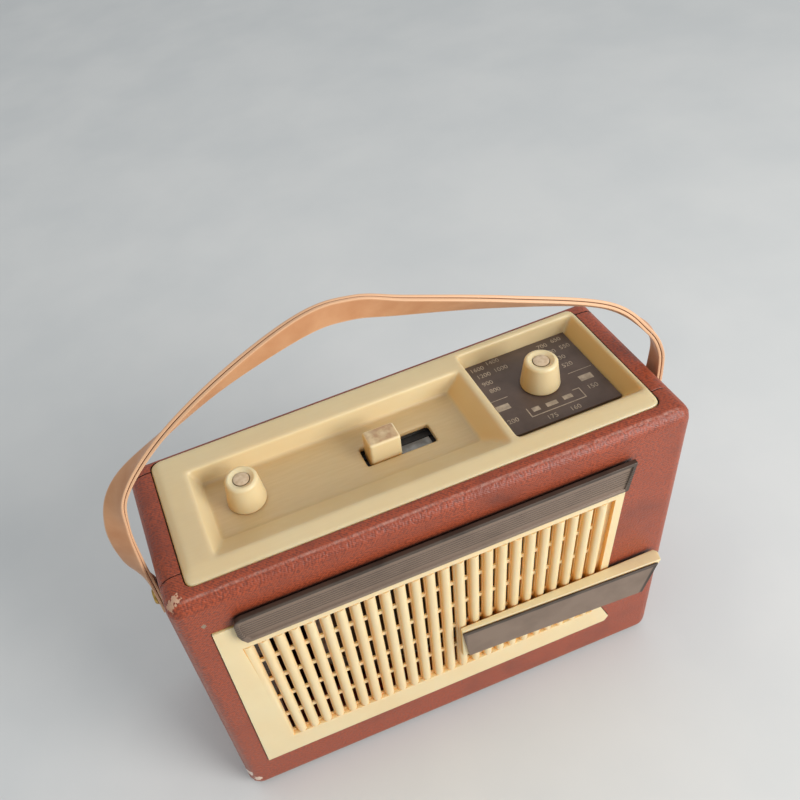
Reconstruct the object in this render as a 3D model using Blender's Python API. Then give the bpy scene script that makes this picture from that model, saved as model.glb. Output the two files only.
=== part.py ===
"""Portable radio in a leathercloth case: front at -Y, right end at +X, standing on z = 0.

Sizes are in millimetres.
"""

import math

import bmesh
import bpy
from mathutils import Vector

MM = 0.001

# Clearances
GAP = 0.3
RUN = 0.35
SLIDE = 0.4

# Case
CASE_W = 260.0
CASE_H = 195.0
CASE_D = 91.0
CORNER_R = 8.0
FRONT_T = CASE_D * 0.2
FRONT_EDGE_R = 7.0
REAR_T = 7.5
REAR_EDGE_R = 3.0
END_T = 11.8
BASE_T = 9.0

# Top deck
DECK_RISE = 1.5
DECK_T = 14.0
DECK_FRONT_IN = 9.5
DECK_REAR_IN = 3.0
DECK_CORNER_R = 4.0
FLOOR_DEPTH = 10.5
CREST_FRONT = 9.0
CREST_LEFT = 4.0
CREST_REAR = 0.8
DIVIDER_X = 47.3
DIVIDER_T = 3.8
RECESS_SLOPE = 8.0

# Controls
KNOB_R = 9.9
KNOB_TOP_R = 8.3
KNOB_H = 16.0
CAP_R = 4.0
CAP_T = 1.3
SHAFT_R = 3.0
VOLUME_X = -78.0
VOLUME_Y = CASE_D * 0.088
TUNING_X = 81.3
TUNING_Y = CASE_D * 0.1055
DIAL_T = 1.6
SLOT_X0 = -17.6
SLOT_W = 37.5
SLOT_Y = CASE_D * 0.0714
SLOT_D = 12.7
SLIDER_W = 16.5
SLIDER_H = 11.5
SLIDER_LEFT = 2.6
SLIDER_SIDE = 1.2
LEVER_T = 0.8

# Grille and bars
GRILLE_X0 = -114.8
GRILLE_W = 210.0
GRILLE_Z0 = 29.5
GRILLE_H = 139.0
GRILLE_T = 3.8
REBATE_D = 3.4
FIELD_D = 2.6
SLOT_COLUMNS = 24
SLOT_ROWS = 5
COLUMN_PITCH = 7.9
ROW_PITCH = 20.4
GRILLE_SLOT_W = 2.0
GRILLE_SLOT_H = 17.8
SLOT_MARGIN = 0.35
RIB_W = 5.0
RIB_H = 3.0
FAN = 0.00038
BAR_W = 203.0
BAR_H = 20.0
BAR_T = 2.6
BAR_OVER = 8.5
BADGE_W = 116.0
BADGE_H = 25.5
BADGE_X0 = 4.5
BADGE_Z0 = 63.5
BADGE_LEFT_T = 2.9
BADGE_RIGHT_T = 7.4
PLATE_T = 1.0
BADGE_SLANT = 9.0

# Strap
STRAP_W = 11.0
STRAP_T = 3.0
STRAP_Y = -8.0
PIVOT_DROP = 35.0
STRAP_RISE = 130.6
TAB_T = 1.4
RIVET_R = 2.0
RIVET_HEAD_R = 4.5

# Chassis and works
SHEET_T = 1.5
BOARD_T = 1.6
SPEAKER_R = 60.0
SPEAKER_X = -12.0
SPEAKER_Z = 98.0
SPEAKER_DEPTH = CASE_D * 0.3077
MAGNET_R = 21.0
MAGNET_T = CASE_D * 0.187
POT_R = 8.5
POT_H = 9.5
VANE_R = 12.0
VANE_T = 7.0
ROD_R = 4.5
ROD_L = 152.0
CLIP_WALL = 2.5
COIL_L = 34.0
BATTERY_W = 60.0
BATTERY_D = 22.0
BATTERY_H = 66.0

# Places that follow from the sizes above
half_w = CASE_W / 2
front_y = -CASE_D / 2
rear_y = CASE_D / 2
band_y0 = front_y + FRONT_T + GAP
band_y1 = rear_y - REAR_T - GAP
inner_x = half_w - END_T
deck_x = inner_x - GAP
deck_y0 = front_y + DECK_FRONT_IN
deck_y1 = rear_y - DECK_REAR_IN
deck_top = CASE_H + DECK_RISE
deck_under = CASE_H - DECK_T
floor_z = CASE_H - FLOOR_DEPTH
sheet_z1 = deck_under - GAP
sheet_z0 = sheet_z1 - SHEET_T
pivot_z = CASE_H - PIVOT_DROP

for leftover in list(bpy.data.objects):
    bpy.data.objects.remove(leftover, do_unlink=True)

radio = bpy.data.collections.new("portable_radio")
cutters = bpy.data.collections.new("cutters")
bpy.context.scene.collection.children.link(radio)
bpy.context.scene.collection.children.link(cutters)
cutters.hide_render = True


def finish(name, colour, roughness, metallic=0.0):
    """A plain Principled material."""
    made = bpy.data.materials.new(name)
    made.use_nodes = True
    shader = made.node_tree.nodes["Principled BSDF"]
    shader.inputs["Base Color"].default_value = (*colour, 1.0)
    shader.inputs["Roughness"].default_value = roughness
    shader.inputs["Metallic"].default_value = metallic
    return made


cloth = finish("leathercloth", (0.29, 0.075, 0.04), 0.5)
cream = finish("cream plastic", (0.78, 0.64, 0.38), 0.35)
dark_plate = finish("anodised bar", (0.13, 0.105, 0.085), 0.45, 0.5)
dial_paint = finish("dial paint", (0.1, 0.07, 0.045), 0.45)
leather = finish("strap leather", (0.58, 0.29, 0.14), 0.6)
brass = finish("brass", (0.6, 0.45, 0.2), 0.35, 1.0)
steel = finish("steel sheet", (0.45, 0.45, 0.44), 0.4, 1.0)
laminate = finish("board laminate", (0.3, 0.16, 0.05), 0.55)
paper = finish("cone paper", (0.05, 0.045, 0.04), 0.9)
ferrite = finish("ferrite", (0.04, 0.04, 0.045), 0.6)
copper = finish("copper wire", (0.6, 0.25, 0.1), 0.4, 1.0)
card = finish("battery card", (0.12, 0.2, 0.35), 0.7)
black = finish("black phenolic", (0.02, 0.02, 0.02), 0.5)


def mesh_object(name, bm, owner, origin=(0.0, 0.0, 0.0)):
    """Turns a bmesh in millimetres into an object whose origin is at a point in millimetres."""
    bmesh.ops.recalc_face_normals(bm, faces=bm.faces)
    start = Vector(origin)
    for vert in bm.verts:
        vert.co = (vert.co - start) * MM
    mesh = bpy.data.meshes.new(name)
    bm.to_mesh(mesh)
    bm.free()
    made = bpy.data.objects.new(name, mesh)
    made.location = start * MM
    owner.objects.link(made)
    return made


def part(name, bm, material, origin=(0.0, 0.0, 0.0)):
    made = mesh_object(name, bm, radio, origin)
    made.data.materials.append(material)
    return made


def boolean(target, bm, name, operation="DIFFERENCE"):
    tool = mesh_object(name, bm, cutters)
    tool.hide_render = True
    tool.display_type = "WIRE"
    step = target.modifiers.new(name, "BOOLEAN")
    step.operation = operation
    step.solver = "EXACT"
    step.object = tool


def add_loft(bm, rings):
    """Skins a list of rings with equal counts and closes both ends."""
    loops = []
    for ring in rings:
        loops.append([bm.verts.new(point) for point in ring])
    for low, high in zip(loops, loops[1:]):
        for i in range(len(low)):
            j = (i + 1) % len(low)
            bm.faces.new((low[i], low[j], high[j], high[i]))
    bm.faces.new(list(reversed(loops[0])))
    bm.faces.new(loops[-1])


def loft(rings):
    bm = bmesh.new()
    add_loft(bm, rings)
    return bm


def placed(points, axis, at):
    """Puts a flat outline across an axis: x gives (y, z), y gives (x, z) and z gives (x, y)."""
    if axis == "x":
        return [(at, u, v) for u, v in points]
    if axis == "y":
        return [(u, at, v) for u, v in points]
    return [(u, v, at) for u, v in points]


def add_prism(bm, points, axis, low, high):
    add_loft(bm, [placed(points, axis, low), placed(points, axis, high)])


def prism(points, axis, low, high):
    bm = bmesh.new()
    add_prism(bm, points, axis, low, high)
    return bm


def rect(u0, u1, v0, v1):
    return [(u0, v0), (u1, v0), (u1, v1), (u0, v1)]


def box(x0, x1, y0, y1, z0, z1):
    return prism(rect(x0, x1, y0, y1), "z", z0, z1)


def rounded(u0, u1, v0, v1, radius, steps=4):
    """A rectangle with rounded corners, anticlockwise from the lower right."""
    points = []
    centres = ((u1 - radius, v0 + radius, -90), (u1 - radius, v1 - radius, 0))
    centres += ((u0 + radius, v1 - radius, 90), (u0 + radius, v0 + radius, 180))
    for cu, cv, start in centres:
        for k in range(steps + 1):
            angle = math.radians(start + 90.0 * k / steps)
            points.append((cu + radius * math.cos(angle), cv + radius * math.sin(angle)))
    return points


def circle(cu, cv, radius, steps=24):
    points = []
    for k in range(steps):
        angle = 2.0 * math.pi * k / steps
        points.append((cu + radius * math.cos(angle), cv + radius * math.sin(angle)))
    return points


def turned(profile, axis, centre, steps=28):
    """Revolves a profile of (radius, position) pairs that starts and ends on the axis."""
    bm = bmesh.new()
    poles = []
    rings = []
    for radius, at in profile:
        if radius == 0.0:
            poles.append(bm.verts.new(placed([centre], axis, at)[0]))
        else:
            rings.append([bm.verts.new(p) for p in placed(circle(*centre, radius, steps), axis, at)])
    for low, high in zip(rings, rings[1:]):
        for i in range(steps):
            j = (i + 1) % steps
            bm.faces.new((low[i], low[j], high[j], high[i]))
    for pole, ring in ((poles[0], rings[0]), (poles[1], rings[-1])):
        for i in range(steps):
            bm.faces.new((pole, ring[i], ring[(i + 1) % steps]))
    return bm


def tube(profile, axis, centre, steps=28):
    """Revolves a closed profile of (radius, position) pairs that stays clear of the axis."""
    bm = bmesh.new()
    rings = []
    for radius, at in profile:
        rings.append([bm.verts.new(p) for p in placed(circle(*centre, radius, steps), axis, at)])
    for low, high in zip(rings, rings[1:] + rings[:1]):
        for i in range(steps):
            j = (i + 1) % steps
            bm.faces.new((low[i], low[j], high[j], high[i]))
    return bm


def slab(plain_y, edge_y, radius, steps=4):
    """A case panel with rounded corners whose outer edge is rolled over."""
    turn = 1.0 if edge_y > plain_y else -1.0
    rings = [placed(rounded(-half_w, half_w, 0.0, CASE_H, CORNER_R), "y", plain_y)]
    for k in range(steps + 1):
        angle = math.radians(90.0 * k / steps)
        inset = radius * (1.0 - math.cos(angle))
        at = edge_y - turn * radius * (1.0 - math.sin(angle))
        outline = rounded(-half_w + inset, half_w - inset, inset, CASE_H - inset, CORNER_R - inset)
        rings.append(placed(outline, "y", at))
    return loft(rings)


def fanned(x, z):
    """The grille's columns lean together towards the bottom."""
    middle = GRILLE_X0 + GRILLE_W / 2
    return middle + (x - middle) * (1.0 - FAN * (GRILLE_Z0 + GRILLE_H - z))


# Case boards
grille_x1 = GRILLE_X0 + GRILLE_W
grille_z1 = GRILLE_Z0 + GRILLE_H
toe = (grille_x1 + 3.5, GRILLE_Z0 + 4.0)
waist = (grille_x1 - 4.0, GRILLE_Z0 + 21.0)


def grille_outline(grow):
    """The grille's edge: straight at the left, leaning in at the right and flared at the toe."""
    left = GRILLE_X0 - grow
    points = [(left, GRILLE_Z0 - grow), (toe[0] - 2.0 + grow, GRILLE_Z0 - grow), (toe[0] + grow, toe[1])]
    points += [(waist[0] + grow, waist[1])]
    points += [(grille_x1 + 2.0 + grow, grille_z1 + grow), (left, grille_z1 + grow)]
    return points


deck_pocket_x = deck_x + GAP
front_panel = part("front_panel", slab(front_y + FRONT_T, front_y, FRONT_EDGE_R), cloth)
boolean(front_panel, prism(grille_outline(SLIDE), "y", front_y - 1.0, front_y + REBATE_D), "cut_rebate")
field_x0 = GRILLE_X0 + 14.5
field_x1 = field_x0 + SLOT_COLUMNS * COLUMN_PITCH
field_z1 = grille_z1 - 20.0
field_z0 = field_z1 - SLOT_ROWS * ROW_PITCH
window = box(field_x0 + 4.0, field_x1 - 8.0, front_y, front_y + FRONT_T + 1.0, field_z0 - 2.0, field_z1 + 2.0)
boolean(front_panel, window, "cut_window")
pocket_r = DECK_CORNER_R + GAP
notch = rounded(-deck_pocket_x, deck_pocket_x, deck_y0 - GAP, front_y + FRONT_T + 2 * pocket_r, pocket_r)
boolean(front_panel, prism(notch, "z", sheet_z0 - GAP, CASE_H + 2.0), "cut_deck_front")

end_outline = rounded(-half_w, -half_w + 4 * CORNER_R, 0.0, CASE_H, CORNER_R)
end_outline = [p for p in end_outline if p[0] <= -half_w + CORNER_R + 1e-6]
end_outline = [(-inner_x, CASE_H)] + end_outline + [(-inner_x, 0.0)]
part("left_end", prism(end_outline, "y", band_y0, band_y1), cloth)
part("right_end", prism([(-u, v) for u, v in reversed(end_outline)], "y", band_y0, band_y1), cloth)
part("base_board", box(-deck_x, deck_x, band_y0, band_y1, 0.0, BASE_T), cloth)

rear_panel = part("rear_panel", slab(rear_y - REAR_T, rear_y, REAR_EDGE_R), cloth)
notch = rounded(-deck_pocket_x, deck_pocket_x, rear_y - REAR_T - 2 * pocket_r, deck_y1 + GAP, pocket_r)
boolean(rear_panel, prism(notch, "z", sheet_z0 - GAP, CASE_H + 2.0), "cut_deck_rear")

# Top deck with two sunk wells
edge = rounded(-deck_x, deck_x, deck_y0, deck_y1, DECK_CORNER_R)
crest = rounded(-deck_x + CREST_LEFT, deck_x - 1.0, deck_y0 + CREST_FRONT, deck_y1 - CREST_REAR, 2.0)
deck = loft([placed(edge, "z", deck_under), placed(edge, "z", CASE_H), placed(crest, "z", deck_top)])
top_deck = part("top_deck", deck, cream)
well_y0 = deck_y0 + CREST_FRONT
divider_left = DIVIDER_X - DIVIDER_T / 2
divider_right = DIVIDER_X + DIVIDER_T / 2
left_floor = rect(-deck_x + 22.0, divider_left - RECESS_SLOPE, well_y0 + 17.5, deck_y1 - 15.2)
left_mouth = rect(-deck_x + 16.0, divider_left, well_y0, deck_y1 - 14.6)
dial_floor = rect(divider_right + 0.8, deck_x - 6.8, well_y0 + 10.3, deck_y1 - 5.1)
dial_mouth = rect(divider_right, deck_x - 2.2, well_y0 + 1.3, deck_y1 - 4.5)
overshoot = 1.0 + 1.0 / (FLOOR_DEPTH + DECK_RISE)


def well(floor, mouth):
    """A sunk well, its walls carried a little past the deck's top."""
    beyond = []
    for (fu, fv), (mu, mv) in zip(floor, mouth):
        beyond.append((fu + (mu - fu) * overshoot, fv + (mv - fv) * overshoot))
    return loft([placed(floor, "z", floor_z), placed(beyond, "z", deck_top + 1.0)])


boolean(top_deck, well(left_floor, left_mouth), "cut_control_well")
boolean(top_deck, well(dial_floor, dial_mouth), "cut_dial_well")
slot_x1 = SLOT_X0 + SLOT_W
slot_y0 = SLOT_Y - SLOT_D / 2
slot_y1 = SLOT_Y + SLOT_D / 2
boolean(top_deck, box(SLOT_X0, slot_x1, slot_y0, slot_y1, deck_under - 1.0, floor_z + 1.0), "cut_slider_slot")
for label, hole_x, hole_y in (("volume", VOLUME_X, VOLUME_Y), ("tuning", TUNING_X, TUNING_Y)):
    hole = prism(circle(hole_x, hole_y, SHAFT_R + RUN), "z", deck_under - 1.0, floor_z + 1.0)
    boolean(top_deck, hole, "cut_shaft_" + label)

dial_z0 = floor_z + GAP
dial_z1 = dial_z0 + DIAL_T
(dial_x0, dial_y0), (dial_x1, _), (_, dial_y1), _ = dial_floor
dial = box(dial_x0 + GAP, dial_x1 - GAP, dial_y0 + GAP, dial_y1 - GAP, dial_z0, dial_z1)
dial_plate = part("dial_plate", dial, dial_paint)
hole = prism(circle(TUNING_X, TUNING_Y, SHAFT_R + RUN), "z", dial_z0 - 1.0, dial_z1 + 1.0)
boolean(dial_plate, hole, "cut_dial_shaft")


def knob(name, x, y, rest_z):
    """A tapered knob with a shaft socket below and a disc let into the top."""
    base = rest_z + GAP
    top = base + KNOB_H
    taper = (KNOB_R - KNOB_TOP_R) / KNOB_H
    profile = [(0.0, base + KNOB_H * 0.6), (SHAFT_R + GAP, base + KNOB_H * 0.6), (SHAFT_R + GAP, base)]
    profile += [(KNOB_R - 0.6, base), (KNOB_R, base + 1.0), (KNOB_TOP_R + taper * 2.2, top - 2.2)]
    profile += [(KNOB_TOP_R - 0.5, top - 0.7), (KNOB_TOP_R - 1.8, top)]
    profile += [(CAP_R + GAP, top), (CAP_R + GAP, top - CAP_T), (0.0, top - CAP_T)]
    part(name + "_knob", turned(profile, "z", (x, y)), cream, (x, y, base))
    cap = [(0.0, top - CAP_T + GAP), (CAP_R, top - CAP_T + GAP), (CAP_R, top - 0.4), (0.0, top - 0.4)]
    part(name + "_cap", turned(cap, "z", (x, y), 24), cream, (x, y, base))
    return base + KNOB_H * 0.6 - GAP


volume_socket = knob("volume", VOLUME_X, VOLUME_Y, floor_z)
tuning_socket = knob("tuning", TUNING_X, TUNING_Y, dial_z1)

# Band slider, its metal lever and the switch below
slider_x0 = SLOT_X0 + SLIDER_LEFT
slider_x1 = slider_x0 + SLIDER_W
slider_y0 = slot_y0 + SLIDER_SIDE
slider_y1 = slot_y1 - SLIDE
slider_top = floor_z + SLIDER_H
foot_z = sheet_z0 - 0.1
lever_z1 = foot_z - GAP
lever_z0 = lever_z1 - LEVER_T
shoulder = [(slider_y0, foot_z), (slider_y1, foot_z)]
shoulder += [(slider_y1, slider_top - 1.6), (slider_y1 - 1.6, slider_top)]
shoulder += [(slider_y0 + 1.6, slider_top), (slider_y0, slider_top - 1.6)]
slider = part("band_slider", prism(shoulder, "x", slider_x0, slider_x1), cream, (slider_x0, SLOT_Y, floor_z))
grooves = bmesh.new()
for k in range(3):
    groove_y = SLOT_Y + (k - 1) * SLOT_D * 0.2
    groove = rect(groove_y - 0.6, groove_y + 0.6, slider_top - 0.7, slider_top + 1.0)
    add_prism(grooves, groove, "x", slider_x0 + 2.4, slider_x1 - 2.4)
boolean(slider, grooves, "cut_slider_grip")
lever_y0 = slot_y0 + 1.8
lever_y1 = slot_y1 - 3.6
lever_x1 = slot_x1 - 1.2
lever = box(slider_x0, lever_x1, lever_y0, lever_y1, lever_z0, lever_z1)
part("switch_lever", lever, steel, (slider_x0, SLOT_Y, floor_z))
switch_z1 = sheet_z0 - GAP
channel_z = lever_z0 - GAP
switch = box(SLOT_X0 - 6.0, slot_x1 + 6.0, slot_y0 - 2.0, slot_y1 + 2.0, switch_z1 - 12.0, switch_z1)
switch_body = part("switch_body", switch, black)
channel = box(SLOT_X0 - 9.0, slot_x1 + 9.0, lever_y0 - RUN, lever_y1 + RUN, channel_z, switch_z1 + 1.0)
boolean(switch_body, channel, "cut_lever_channel")

# Grille: a plate with a sunk field of ribs and rows of slots
grille_back = front_y + REBATE_D - GAP
grille_front = grille_back - GRILLE_T
field_y = grille_front + FIELD_D
rib_top = field_y - RIB_H
grille = part("grille", prism(grille_outline(0.0), "y", grille_front, grille_back), cream)
pocket = [(fanned(field_x0 - 3.5, field_z0) + 2.0, field_z0)]
pocket += [(fanned(field_x1 + 3.5, field_z0) - 1.0, field_z0)]
pocket += [(fanned(field_x1 + 3.5, field_z1), field_z1), (fanned(field_x0 - 3.5, field_z1) - 2.0, field_z1)]
boolean(grille, prism(pocket, "y", grille_front - 1.0, field_y), "cut_field")
ribs = bmesh.new()
for k in range(SLOT_COLUMNS + 1):
    rib_x = field_x0 + k * COLUMN_PITCH - SLOT_MARGIN - RIB_W / 2
    rings = []
    for rib_z in (field_z0 + 0.6, field_z1 - 0.6):
        mid = fanned(rib_x, rib_z)
        ring = [(mid - RIB_W / 2, field_y + 0.4, rib_z)]
        for step in range(7):
            angle = math.radians(30.0 * step)
            ring.append((mid - RIB_W / 2 * math.cos(angle), field_y - RIB_H * math.sin(angle), rib_z))
        ring.append((mid + RIB_W / 2, field_y + 0.4, rib_z))
        rings.append(ring)
    add_loft(ribs, rings)
boolean(grille, ribs, "add_ribs", "UNION")
holes = bmesh.new()
for k in range(SLOT_COLUMNS):
    for row in range(SLOT_ROWS):
        slot_z1 = field_z1 - row * ROW_PITCH - (ROW_PITCH - GRILLE_SLOT_H) / 2
        slot_z0 = slot_z1 - GRILLE_SLOT_H
        slot_x = field_x0 + k * COLUMN_PITCH
        rings = []
        for at in (field_y - 1.0, grille_back + 1.0):
            far_x = slot_x + GRILLE_SLOT_W
            ring = [(fanned(slot_x, slot_z0), at, slot_z0), (fanned(far_x, slot_z0), at, slot_z0)]
            ring += [(fanned(far_x, slot_z1), at, slot_z1), (fanned(slot_x, slot_z1), at, slot_z1)]
            rings.append(ring)
        add_loft(holes, rings)
boolean(grille, holes, "cut_slots")

# Bare bar across the grille's top
bar_back = rib_top - GAP
bar_z1 = grille_z1 + BAR_OVER
bar_z0 = bar_z1 - BAR_H
bar_x0 = GRILLE_X0 + 10.2
bar_x1 = bar_x0 + BAR_W


def bar_outline(inset):
    """Blunt at the left end, with its lower corner cut back, and slanted at the right."""
    left = bar_x0 + inset
    low = bar_z0 + inset
    high = bar_z1 - inset
    points = [(bar_x1 - 2.8 - inset, low), (bar_x1 - inset, high), (left + BAR_H * 0.2, high)]
    points += [(left + BAR_H * 0.06, high - BAR_H * 0.06), (left, high - BAR_H * 0.2)]
    points += [(left, low + BAR_H * 0.38)]
    points += [(left + BAR_H * 0.05, low + BAR_H * 0.2), (left + BAR_H * 0.16, low)]
    return points


bar = part("name_bar", prism(bar_outline(0.0), "y", bar_back - BAR_T, bar_back), dark_plate)
boolean(bar, prism(bar_outline(2.2), "y", bar_back - BAR_T - 1.0, bar_back - BAR_T + 0.8), "cut_bar_field")

# Lower badge: a cream wedge with a bare dark plate on its face
badge_x1 = BADGE_X0 + BADGE_W
badge_z1 = BADGE_Z0 + BADGE_H
badge_back = rib_top - GAP
rings = []
for z, x1 in ((BADGE_Z0, badge_x1 - BADGE_SLANT), (badge_z1, badge_x1)):
    share = (x1 - BADGE_X0) / BADGE_W
    tip = BADGE_LEFT_T + (BADGE_RIGHT_T - BADGE_LEFT_T) * share
    wedge = [(BADGE_X0, badge_back), (x1, badge_back), (x1 + 1.5, badge_back - 2.0)]
    wedge += [(x1, badge_back - tip), (BADGE_X0, badge_back - BADGE_LEFT_T)]
    rings.append(placed(wedge, "z", z))
part("badge_rail", loft(rings), cream)


def badge_face(x):
    slope = (BADGE_RIGHT_T - BADGE_LEFT_T) / BADGE_W
    return badge_back - BADGE_LEFT_T - slope * (x - BADGE_X0) - GAP


rings = []
plate_low = (BADGE_Z0 + 0.8, BADGE_X0 + 3.3, badge_x1 - BADGE_SLANT - 4.0)
plate_high = (badge_z1 - 0.4, BADGE_X0, badge_x1 - 6.6)
for z, x0, x1 in (plate_low, plate_high):
    ring = [(x0, badge_face(x0), z), (x1, badge_face(x1), z)]
    ring += [(x1, badge_face(x1) - PLATE_T, z), (x0, badge_face(x0) - PLATE_T, z)]
    rings.append(ring)
part("badge_plate", loft(rings), dark_plate)

# Carrying strap, its tabs and the rivets it swings on
leg_x = half_w + GAP + TAB_T + GAP + STRAP_T / 2
# Stations along the loop: share of the half span, share of the rise, and twist in degrees
stations = [(-1.0, -0.061, 0), (-1.0, 0.03, 0), (-1.008, 0.1, 0), (-1.04, 0.24, 0), (-1.045, 0.44, 14)]
stations += [(-0.965, 0.605, 32), (-0.8, 0.75, 36), (-0.56, 0.895, 26)]
stations += [(-0.285, 1.0, -8), (-0.125, 1.0, -26), (0.035, 0.94, -20)]
stations += [(0.365, 0.81, 4), (0.74, 0.635, 22), (0.92, 0.465, 15), (0.997, 0.34, 3), (1.01, 0.22, 0)]
stations += [(1.0, 0.03, 0), (1.0, -0.061, 0)]
stations = [Vector((x * leg_x, z * STRAP_RISE + pivot_z, twist)) for x, z, twist in stations]
ends = [stations[0] * 2 - stations[1]] + stations + [stations[-1] * 2 - stations[-2]]
line = []
for a, b, c, d in zip(ends, ends[1:], ends[2:], ends[3:]):
    for k in range(3):
        t = k / 3
        curve = b * 2 + (c - a) * t + (a * 2 - b * 5 + c * 4 - d) * t**2 + (b * 3 - a - c * 3 + d) * t**3
        line.append(curve / 2)
line.append(stations[-1])
rings = []
for k, point in enumerate(line):
    along = line[min(k + 1, len(line) - 1)] - line[max(k - 1, 0)]
    up = Vector((-along.y, 0.0, along.x)).normalized()
    lean = math.radians(point.z)
    face = up * math.cos(lean) + Vector((0.0, math.sin(lean), 0.0))
    side = Vector((0.0, math.cos(lean), 0.0)) - up * math.sin(lean)
    ring = []
    for u, v in ((-1, -1), (1, -1), (1, 1), (-1, 1)):
        spot = Vector((point.x, STRAP_Y, point.y)) + side * (u * STRAP_W / 2) + face * (v * STRAP_T / 2)
        ring.append(tuple(spot))
    rings.append(ring)
strap = part("strap", loft(rings), leather, (0.0, STRAP_Y, pivot_z))
pins = bmesh.new()
for side in (-1.0, 1.0):
    ends = sorted((side * (leg_x - STRAP_T), side * (leg_x + STRAP_T)))
    add_prism(pins, circle(STRAP_Y, pivot_z, RIVET_R + RUN, 20), "x", ends[0], ends[1])
boolean(strap, pins, "cut_rivet_holes")
for label, side in (("left", -1.0), ("right", 1.0)):
    near = side * (half_w + GAP)
    far = near + side * TAB_T
    ends = sorted((near, far))
    tab = rounded(STRAP_Y - STRAP_W * 0.62, STRAP_Y + STRAP_W * 0.62, pivot_z - 14.0, pivot_z + 12.0, 4.0)
    part("strap_tab_" + label, prism(tab, "x", ends[0], ends[1]), leather)
    start = far + side * GAP
    under = side * (leg_x + STRAP_T / 2 + GAP)
    head = under + side * 1.6
    rivet = [(0.0, start), (RIVET_R, start), (RIVET_R, under), (RIVET_HEAD_R, under)]
    rivet += [(RIVET_HEAD_R * 0.8, head), (0.0, head)]
    part("strap_rivet_" + label, turned(rivet, "x", (STRAP_Y, pivot_z), 20), brass)

# Chassis sheet: a shelf under the deck and a wall behind the loudspeaker
speaker_y0 = front_y + FRONT_T + GAP
magnet_y1 = speaker_y0 + SPEAKER_DEPTH + GAP + MAGNET_T
wall_y0 = max(magnet_y1 + GAP, VOLUME_Y + POT_R + 1.0, slot_y1 + 3.0)
wall_y1 = wall_y0 + SHEET_T
chassis_x0 = -deck_x + 18.0
wall_x1 = DIVIDER_X + 12.0
chassis_x1 = deck_x - 4.0
wall_z0 = SPEAKER_Z - 30.0
bent = [(band_y0 + 2.0, sheet_z0), (band_y0 + 2.0, sheet_z1), (wall_y1, sheet_z1), (wall_y1, wall_z0)]
bent += [(wall_y0, wall_z0), (wall_y0, sheet_z0)]
chassis = part("chassis", prism(bent, "x", chassis_x0, chassis_x1), steel)
cutaway = box(wall_x1, chassis_x1 + 1.0, wall_y0 - 1.0, wall_y1 + 1.0, wall_z0 - 1.0, sheet_z0)
boolean(chassis, cutaway, "cut_wall_end")
gate = box(SLOT_X0 - 1.5, slot_x1 + 1.5, slot_y0 - 0.5, slot_y1 + 0.5, sheet_z0 - 1.0, sheet_z1 + 1.0)
boolean(chassis, gate, "cut_slider_gate")
for label, hole_x, hole_y in (("volume", VOLUME_X, VOLUME_Y), ("tuning", TUNING_X, TUNING_Y)):
    hole = prism(circle(hole_x, hole_y, SHAFT_R + RUN), "z", sheet_z0 - 1.0, sheet_z1 + 1.0)
    boolean(chassis, hole, "cut_sheet_" + label)

# Volume control
pot_z1 = sheet_z0 - GAP
pot_z0 = pot_z1 - POT_H
pot = [(0.0, pot_z0), (POT_R, pot_z0), (POT_R, pot_z1), (SHAFT_R + RUN, pot_z1)]
pot += [(SHAFT_R + RUN, pot_z0 + 2.0), (0.0, pot_z0 + 2.0)]
part("volume_pot", turned(pot, "z", (VOLUME_X, VOLUME_Y)), black)
stem_z0 = pot_z0 + 2.0 + GAP
stem = [(0.0, stem_z0), (SHAFT_R, stem_z0), (SHAFT_R, volume_socket), (0.0, volume_socket)]
part("volume_shaft", turned(stem, "z", (VOLUME_X, VOLUME_Y), 20), brass, (VOLUME_X, VOLUME_Y, pot_z1))

# Tuning capacitor: half-round vanes that swing between two fixed plates
vane_z1 = sheet_z0 - GAP - 3.0 - GAP
vane_z0 = vane_z1 - VANE_T
vane = []
for k in range(13):
    angle = math.radians(180.0 + 180.0 * k / 12)
    vane.append((TUNING_X + VANE_R * math.cos(angle), TUNING_Y + VANE_R * math.sin(angle)))
for k in range(7):
    angle = math.radians(180.0 * k / 6)
    vane.append((TUNING_X + 4.4 * math.cos(angle), TUNING_Y + 4.4 * math.sin(angle)))
rotor = part("tuning_rotor", prism(vane, "z", vane_z0, vane_z1), brass, (TUNING_X, TUNING_Y, vane_z1))
stem = [(0.0, vane_z0 + 1.0), (SHAFT_R, vane_z0 + 1.0), (SHAFT_R, tuning_socket), (0.0, tuning_socket)]
boolean(rotor, turned(stem, "z", (TUNING_X, TUNING_Y), 20), "add_tuning_shaft", "UNION")
yoke_y0 = TUNING_Y + VANE_R + 1.2
jaw = TUNING_Y + SHAFT_R + 1.6
yoke = [(jaw, vane_z1 + GAP), (yoke_y0, vane_z1 + GAP), (yoke_y0, vane_z0 - GAP), (jaw, vane_z0 - GAP)]
yoke += [(jaw, vane_z0 - 3.0), (yoke_y0 + 3.0, vane_z0 - 3.0)]
yoke += [(yoke_y0 + 3.0, sheet_z0 - GAP), (jaw, sheet_z0 - GAP)]
part("tuning_stator", prism(yoke, "x", TUNING_X - VANE_R - 1.0, TUNING_X + VANE_R + 1.0), steel)

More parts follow.
